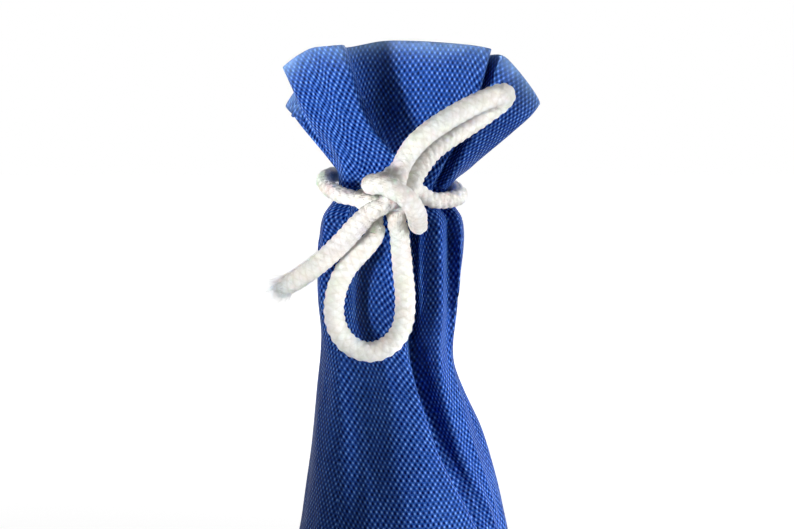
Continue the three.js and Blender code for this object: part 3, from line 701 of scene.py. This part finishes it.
def side_binding(name, grid, column, direction):
    """A side seam's bound allowance lies flat against the back panel's inside."""
    normals = wall_normals(grid)
    lowest = CAD_CLOTH_THICKNESS + FIT_GAP + SEAM_ALLOWANCE + FIT_GAP
    kept = (grid[:, column, 2] > lowest) & (grid[:, column, 2] < grid[-1, column, 2] - BINDING_END)
    start = CAD_CLOTH_THICKNESS + FIT_GAP
    near = (grid - normals * start)[kept]
    far = (grid - normals * (start + BINDING_THICKNESS))[kept]
    reaches = BINDING_START + BINDING_WIDTH * np.linspace(0, 1, BINDING_ROWS)
    hang = np.stack([along_rows(near, column, direction, reach) for reach in reaches])
    deep = np.stack([along_rows(far, column, direction, reach) for reach in reaches])
    inward = unit(deep - hang)
    strip, face = hang, crowned(hang, inward, BINDING_THICKNESS)
    if direction > 0:
        strip, face = strip[::-1], face[::-1]
    made = slab(name, strip, face)
    return made, stitches(
        name.replace("binding", "stitches"), face[BINDING_MIDDLE], inward[BINDING_MIDDLE])


def stitches(name, line, outward):
    """Lock stitches along a line: short, plump, slightly sunken threads."""
    travelled = np.concatenate([[0], np.cumsum(np.linalg.norm(np.diff(line, axis=0), axis=1))])
    vertices, faces = [], []
    start = STITCH_START
    sides = STITCH_SIDES
    while start + STITCH_ROOM < travelled[-1]:
        at = start + np.linspace(0, STITCH_LENGTH, STITCH_POINTS)
        spine = np.stack([np.interp(at, travelled, line[:, k]) for k in range(3)], axis=1)
        lift = np.stack([np.interp(at, travelled, outward[:, k]) for k in range(3)], axis=1)
        heading = unit(np.gradient(spine, axis=0))
        aside = unit(np.cross(heading, lift))
        arch = np.sin(np.linspace(0, np.pi, STITCH_POINTS))[:, None]
        spine = spine + lift * (arch * 0.14 - 0.06) * MM
        base = len(vertices)
        for i in range(STITCH_POINTS):
            size = STITCH_RADIUS * (0.45 + 0.55 * arch[i, 0])
            for k in range(sides):
                angle = k * 2 * np.pi / sides
                vertices.append(spine[i] + (aside[i] * np.cos(angle) + lift[i] * np.sin(angle)) * size)
        for i in range(STITCH_POINTS - 1):
            for k in range(sides):
                low, high = base + sides * i, base + sides * (i + 1)
                faces.append((low + k, high + k, high + (k + 1) % sides, low + (k + 1) % sides))
        end = len(vertices)
        faces += [tuple(range(base, base + sides)), tuple(range(end - sides, end))[::-1]]
        start += STITCH_PITCH
    return new_object(name, vertices, faces)


class Shader:
    """A material under construction, with short calls for its nodes."""

    def __init__(self, name):
        self.material = bpy.data.materials.new(name)
        self.material.use_nodes = True
        self.tree = self.material.node_tree
        self.surface = self.tree.nodes["Principled BSDF"]

    def node(self, kind, inputs=None, **settings):
        made = self.tree.nodes.new(kind)
        for key, value in settings.items():
            setattr(made, key, value)
        for key, value in (inputs or {}).items():
            self.feed(made.inputs[key], value)
        return made

    def feed(self, socket, value):
        if isinstance(value, bpy.types.NodeSocket):
            self.tree.links.new(value, socket)
        else:
            socket.default_value = value

    def math(self, operation, *values):
        return self.node("ShaderNodeMath", dict(enumerate(values)), operation=operation).outputs[0]

    def blend(self, share, first, second):
        mix = self.node("ShaderNodeMix", {0: share, 6: first, 7: second}, data_type="RGBA")
        return mix.outputs[2]

    def ramp(self, value, low, high):
        """0 below low, 1 above high, smooth between."""
        made = self.node("ShaderNodeMapRange", {0: value, 1: low, 2: high}, interpolation_type="SMOOTHSTEP")
        return made.outputs[0]

    def noise(self, vector, scale, detail=2.0):
        made = self.node("ShaderNodeTexNoise", {"Vector": vector, "Scale": scale, "Detail": detail})
        return made.outputs["Fac"] if "Fac" in made.outputs else made.outputs[0]

    def places(self):
        """The weave's own two coordinates."""
        uv = self.node("ShaderNodeUVMap", uv_map="weave").outputs[0]
        split = self.node("ShaderNodeSeparateXYZ", {0: uv})
        return split.outputs[0], split.outputs[1]

    def random(self, first, second):
        pair = self.node("ShaderNodeCombineXYZ", {0: first, 1: second}).outputs[0]
        return self.node("ShaderNodeTexWhiteNoise", {"Vector": pair}, noise_dimensions="2D").outputs["Value"]


def linear(red, green, blue):
    """A colour given as it shows on a screen, 0 to 255."""
    values = [v / 255 for v in (red, green, blue)]
    return (*[v / 12.92 if v <= 0.04045 else ((v + 0.055) / 1.055) ** 2.4 for v in values], 1)


def weave_cells(shader, a, b):
    """For places counted in threads: which thread is on top, nearness to a cell's middle, and noise."""
    arches, cells = [], []
    for value in (a, b):
        arches.append(shader.math("SINE", shader.math("MULTIPLY", shader.math("FRACT", value), math.pi)))
        cells.append(shader.math("FLOOR", value))
    over = shader.math("FLOORED_MODULO", shader.math("ADD", *cells), 2.0)
    middle = shader.math("MULTIPLY", *arches)
    return over, middle, shader.random(cells[0], 3.0), shader.random(*cells)


def cloth_material(name, base, tip, pit_shade, edge_highlight, pitches):
    """Woven cloth: plump threads with glossy tips and a painted highlight on them, painted shade in small
    pits between them, and a painted highlight along the mouth's rim.
    """
    shader = Shader(name)
    u, v = shader.places()
    position = shader.node("ShaderNodeTexCoord").outputs["Object"]
    wobble = shader.math("MULTIPLY", shader.math("SUBTRACT", shader.noise(position, 260.0), 0.5), 0.4)
    a = shader.math("ADD", shader.math("MULTIPLY", u, 1 / pitches[0]), wobble)
    b = shader.math("ADD", shader.math("MULTIPLY", v, 1 / pitches[1]), wobble)
    over, middle, thread, cell = weave_cells(shader, a, b)
    under = shader.math("SUBTRACT", 1.0, over)
    tips = shader.math("MULTIPLY", over, shader.ramp(middle, 0.3, 0.95))
    pits = shader.math("MULTIPLY", under, shader.ramp(middle, 0.05, 0.6))
    tint = shader.math("ADD", shader.math("MULTIPLY", thread, 0.3), shader.math("MULTIPLY", cell, 0.5))
    clouds = shader.ramp(shader.noise(position, 45.0), 0.3, 0.7)
    tint = shader.math("ADD", tint, shader.math("MULTIPLY", clouds, 0.2))
    colour = shader.blend(tint, *base)
    # The tip colour is a painted highlight on each warp float's top, stronger in some cells than in others
    glint = shader.math("ADD", 0.35, shader.math("MULTIPLY", cell, 0.6))
    colour = shader.blend(shader.math("MULTIPLY", tips, glint), colour, tip)
    # The pit colour is painted shade in the gaps between threads, a little weaker in some cells
    shade_per_cell = shader.math("SUBTRACT", 1.0, shader.math("MULTIPLY", cell, 0.25))
    colour = shader.blend(shader.math("MULTIPLY", pits, shade_per_cell), colour, pit_shade)
    # A painted highlight along the mouth's edge, fading below it and patchy
    if edge_highlight:
        rim = shader.node("ShaderNodeAttribute", attribute_name="rim").outputs["Fac"]
        patch = shader.ramp(shader.noise(position, 120.0), 0.25, 0.75)
        rim = shader.math("MULTIPLY", rim, shader.math("ADD", shader.math("MULTIPLY", patch, 0.6), 0.35))
        colour = shader.blend(rim, colour, edge_highlight)
    fibre = shader.noise(position, 5200.0, 1.0)
    relief = shader.math("SUBTRACT", shader.math("MULTIPLY", tips, 0.6), pits)
    relief = shader.math("ADD", relief, shader.math("MULTIPLY", fibre, 0.12))
    bump = shader.node("ShaderNodeBump", {"Height": relief, "Strength": 0.8, "Distance": 0.13 * MM})
    roughness = shader.math("SUBTRACT", 0.5, shader.math("MULTIPLY", tips, 0.16))
    shader.feed(shader.surface.inputs["Base Color"], colour)
    shader.feed(shader.surface.inputs["Normal"], bump.outputs[0])
    shader.feed(shader.surface.inputs["Roughness"], roughness)
    shader.surface.inputs["Specular IOR Level"].default_value = 0.04
    shader.surface.inputs["Specular Tint"].default_value = linear(130, 190, 255)
    return shader.material


def cord_material():
    """Soft braided yarn: warm white strands, painted beige shade in the grooves between them, fine fibres."""
    shader = Shader("cord")
    a, b = shader.places()
    _, middle, _, each = weave_cells(shader, a, b)
    position = shader.node("ShaderNodeTexCoord").outputs["Object"]
    mottle = shader.noise(position, 750.0, 3.0)
    fibre = shader.noise(position, 4200.0, 2.0)
    strand = shader.blend(shader.math("MULTIPLY", each, 0.6), linear(243, 241, 236), linear(232, 229, 220))
    strand = shader.blend(shader.ramp(mottle, 0.35, 0.7), strand, linear(247, 246, 243))
    # Painted shade in the grooves between the strands, in a beige colour
    groove_shade = shader.math("SUBTRACT", 1.0, shader.ramp(middle, 0.0, 0.5))
    colour = shader.blend(shader.math("MULTIPLY", groove_shade, 0.2), strand, linear(204, 197, 180))
    yarn = shader.math("SINE", shader.math("MULTIPLY", shader.math("ADD", a, b), 6 * math.pi))
    relief = shader.math("ADD", shader.math("MULTIPLY", fibre, 0.4), shader.math("MULTIPLY", yarn, 0.05))
    relief = shader.math("ADD", relief, shader.math("MULTIPLY", shader.ramp(mottle, 0.3, 0.7), 0.8))
    bump = shader.node("ShaderNodeBump", {"Height": relief, "Strength": 0.7, "Distance": 0.24 * MM})
    shader.feed(shader.surface.inputs["Base Color"], colour)
    shader.feed(shader.surface.inputs["Normal"], bump.outputs[0])
    shader.surface.inputs["Roughness"].default_value = 0.82
    shader.surface.inputs["Specular IOR Level"].default_value = 0.3
    shader.surface.inputs["Sheen Weight"].default_value = 0.25
    shader.surface.inputs["Sheen Roughness"].default_value = 0.5
    shader.surface.inputs["Subsurface Weight"].default_value = 0.12
    shader.surface.inputs["Subsurface Scale"].default_value = 1.2 * MM
    return shader.material


def fibre_material():
    """Loose fibres from inside the cord, whiter than the braid."""
    shader = Shader("fibres")
    position = shader.node("ShaderNodeTexCoord").outputs["Object"]
    tone = shader.ramp(shader.noise(position, 1500.0), 0.3, 0.7)
    colour = shader.blend(tone, linear(247, 245, 240), linear(253, 252, 250))
    shader.feed(shader.surface.inputs["Base Color"], colour)
    shader.surface.inputs["Roughness"].default_value = 0.7
    shader.surface.inputs["Specular IOR Level"].default_value = 0.3
    shader.surface.inputs["Subsurface Weight"].default_value = 0.7
    shader.surface.inputs["Subsurface Scale"].default_value = 2 * MM
    return shader.material


def add_light(name, place, target, size, watts, spread):
    data = bpy.data.lights.new(name, "AREA")
    data.spread = math.radians(spread)
    data.shape = "DISK"
    data.size = size
    data.energy = watts
    lamp = bpy.data.objects.new(name, data)
    bpy.context.scene.collection.objects.link(lamp)
    lamp.location = place
    lamp.rotation_euler = (Vector(target) - Vector(place)).to_track_quat("-Z", "Y").to_euler()


def light_scene():
    """Soft light, mostly from the right and behind, and a white world for the camera."""
    for lamp in LAMPS:
        add_light(*lamp)
    world = bpy.data.worlds.new("world")
    bpy.context.scene.world = world
    world.use_nodes = True
    tree = world.node_tree
    tree.nodes.clear()
    lit = tree.nodes.new("ShaderNodeBackground")
    lit.inputs["Strength"].default_value = WORLD_STRENGTH
    shown = tree.nodes.new("ShaderNodeBackground")
    shown.inputs["Color"].default_value = (1, 1, 1, 1)
    white_for_rays(tree, lit, shown, "ShaderNodeOutputWorld")


def white_for_rays(tree, lit, shown, output):
    """Camera, glossy and transmission rays see one shader, and all others the lit one."""
    path = tree.nodes.new("ShaderNodeLightPath")
    total = path.outputs["Is Camera Ray"]
    for name in ("Is Glossy Ray", "Is Transmission Ray"):
        add = tree.nodes.new("ShaderNodeMath")
        add.operation = "MAXIMUM"
        tree.links.new(total, add.inputs[0])
        tree.links.new(path.outputs[name], add.inputs[1])
        total = add.outputs[0]
    mix = tree.nodes.new("ShaderNodeMixShader")
    end = tree.nodes.new(output)
    tree.links.new(total, mix.inputs[0])
    tree.links.new(lit.outputs[0], mix.inputs[1])
    tree.links.new(shown.outputs[0], mix.inputs[2])
    tree.links.new(mix.outputs[0], end.inputs["Surface"])


def add_floor():
    """A pale floor that shows white where the light reaches it, and keeps the shadow."""
    corners = [(x * FLOOR_REACH, y * FLOOR_REACH, 0) for x, y in ((-1, -1), (1, -1), (1, 1), (-1, 1))]
    floor = new_object("floor", corners, [(0, 1, 2, 3)])
    material = bpy.data.materials.new("floor")
    material.use_nodes = True
    tree = material.node_tree
    tree.nodes.clear()
    lit = tree.nodes.new("ShaderNodeBsdfDiffuse")
    lit.inputs["Color"].default_value = (0.5, 0.5, 0.5, 1)
    glow = tree.nodes.new("ShaderNodeEmission")
    place = tree.nodes.new("ShaderNodeTexCoord")
    distance = tree.nodes.new("ShaderNodeVectorMath")
    distance.operation = "LENGTH"
    strength = tree.nodes.new("ShaderNodeMapRange")
    for socket, value in zip(strength.inputs[1:5], FLOOR_GLOW):
        socket.default_value = value
    tree.links.new(place.outputs["Object"], distance.inputs[0])
    tree.links.new(distance.outputs["Value"], strength.inputs[0])
    tree.links.new(strength.outputs[0], glow.inputs["Strength"])
    shown = tree.nodes.new("ShaderNodeAddShader")
    tree.links.new(lit.outputs[0], shown.inputs[0])
    tree.links.new(glow.outputs[0], shown.inputs[1])
    white_for_rays(tree, lit, shown, "ShaderNodeOutputMaterial")
    floor.data.materials.append(material)
    floor.location.z = -0.01 * MM
    floor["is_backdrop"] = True


def place_cord(piece, path, body, diameter, far_end, nodes, blend=None):
    """Gives one stretch of the cord its material, attaches it to its body or fixes its transform, hides the
    solids it stands for, and returns its path and measures.
    """
    length = float(np.linalg.norm(np.diff(path, axis=0), axis=1).sum())
    piece.data.materials.append(CORD)
    if blend:
        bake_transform(piece)
    else:
        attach(piece, body)
    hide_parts(*nodes)
    return dict(
        exit=tuple(path[0]), length=length, diameter=diameter, far_end=far_end, stiffness="limp",
        path=[tuple(p) for p in path])


def place_cloth(piece, material, nodes):
    piece.data.materials.append(material)
    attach(piece, "pouch")
    if nodes:
        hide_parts(*nodes)


bpy.context.scene.view_settings.view_transform = "Standard"
add_camera()
CORD = cord_material()
# Each cloth: two base colours, then a painted highlight for the thread tops, painted shade for the pits, and
# a painted highlight for the mouth's rim or none
CLOTH = cloth_material(
    "pouch_cloth", (linear(27, 60, 141), linear(48, 89, 178)), linear(130, 178, 246), linear(2, 9, 60),
    linear(150, 188, 238), WEAVE_PITCHES)
BINDING = cloth_material(
    "seam_binding", (linear(26, 56, 138), linear(34, 66, 150)), linear(60, 96, 184), linear(12, 26, 84),
    None, BINDING_PITCHES)
THREAD = cloth_material(
    "thread", (linear(40, 78, 176), linear(48, 88, 186)), linear(72, 112, 206), linear(16, 36, 110),
    None, THREAD_PITCHES)

cord_points, cord_names, cord_slack, cord_radii = lay_cord()
cord_points = tighten_cord(cord_points, cord_slack, cord_radii)
whole = braid(cord_points, cord_names, cord_radii)

lower, lower_path = cord_piece("lower_loop_cord", whole, ["short_tail", "lower_loop"])
declared = place_cord(
    lower, lower_path[::-1], "lower_bow_loop", CORD_DIAMETER, "bare", ["short_tail", "lower_loop"],
    LOWER_LOOP_BEND)

around, around_path = cord_piece("neck_tie_cord", whole, ["neck_cord"])
declared = place_cord(around, around_path, "pouch", NECK_DIAMETER, "object", ["neck_cord"])

upper, upper_path = cord_piece("upper_loop_cord", whole, ["upper_loop"])
declared = place_cord(
    upper, upper_path, "upper_bow_loop", CORD_DIAMETER, "object", ["upper_loop"], UPPER_LOOP_BEND)

tail, tail_path = cord_piece("long_tail_cord", whole, ["tail_pass", "long_tail"])
declared = place_cord(
    tail, tail_path, "long_cord_tail", CORD_DIAMETER, "bare", ["tail_pass", "long_tail"],
    LONG_TAIL_BEND)
fray = frayed_end("tail_fibres", tail_path[-1], unit(tail_path[-1] - tail_path[-4]), CORD_DIAMETER / 2)
fray.data.materials.append(fibre_material())
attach(fray, "long_cord_tail")

wall = wrinkle(wall_grid())
front, back = wall_pieces(wall)
base = base_piece(wall)
place_cloth(front, CLOTH, ["front_panel"])
place_cloth(back, CLOTH, ["back_panel"])
place_cloth(base, CLOTH, ["base_panel"])

for (binding, thread), node in (
        (base_binding(wall), "base_seam_binding"),
        (side_binding("left_binding", wall, 0, -1), "left_seam_binding"),
        (side_binding("right_binding", wall, SEAM_COLUMN, 1), "right_seam_binding")):
    place_cloth(binding, BINDING, [node])
    place_cloth(thread, THREAD, [])

add_floor()
light_scene()
size = dict(cad=[list(map(float, corner)) for corner in cad_bounds])
size["visual"] = [list(map(float, corner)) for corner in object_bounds()]
